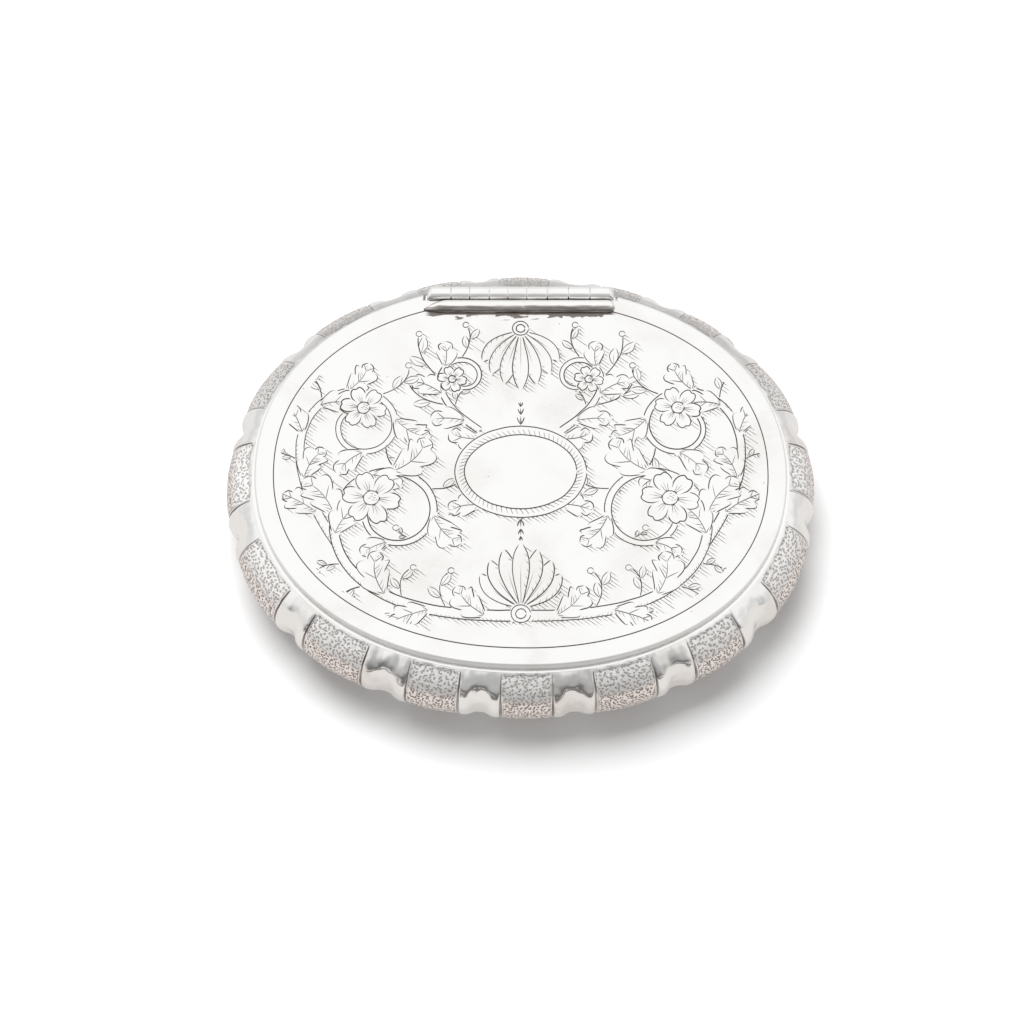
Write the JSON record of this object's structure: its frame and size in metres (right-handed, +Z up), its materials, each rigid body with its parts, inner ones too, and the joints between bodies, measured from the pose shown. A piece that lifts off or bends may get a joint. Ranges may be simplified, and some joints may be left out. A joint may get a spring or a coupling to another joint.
{
  "type": "snuff box",
  "caption": "Flat oval silver snuff box with a bombé wall of matted panels and plain flutes, a flat engraved lid and a knuckled hinge.",
  "frame": {"origin": "middle of the flat underside of the base", "axes": "+X along the hinge to the right seen from the front, +Y towards the hinge at the back, +Z up through the lid"},
  "size_m": [0.0805, 0.0662, 0.0145],
  "materials": {
    "lid_silver": "satin",
    "wall_silver": "satin",
    "rim_silver": "gloss",
    "hinge_silver": "gloss",
    "base_silver": "satin"
  },
  "bodies": {
    "box": {"base_plate": "base_silver", "body_wall": "wall_silver", "mouth_rim": "rim_silver", "hinge_strip": "hinge_silver", "hinge_pin": "hinge_silver", "hinge_cap_left": "hinge_silver", "hinge_cap_right": "hinge_silver", "hinge_knuckle_1": "hinge_silver", "hinge_knuckle_3": "hinge_silver", "hinge_knuckle_5": "hinge_silver", "hinge_knuckle_7": "hinge_silver", "hinge_knuckle_9": "hinge_silver"},
    "lid": {"lid_plate": "lid_silver", "lid_edge_wire": "lid_silver", "lid_collar": "rim_silver", "hinge_ridge": "hinge_silver", "hinge_knuckle_2": "hinge_silver", "hinge_knuckle_4": "hinge_silver", "hinge_knuckle_6": "hinge_silver", "hinge_knuckle_8": "hinge_silver"}
  },
  "joints": [
    {"name": "lid_hinge", "type": "hinge", "parent": "box", "child": "lid", "pos_m": [0, 0.0273, 0.0135], "axis": [-1, 0, 0], "range_deg": [0, 110]}
  ]
}
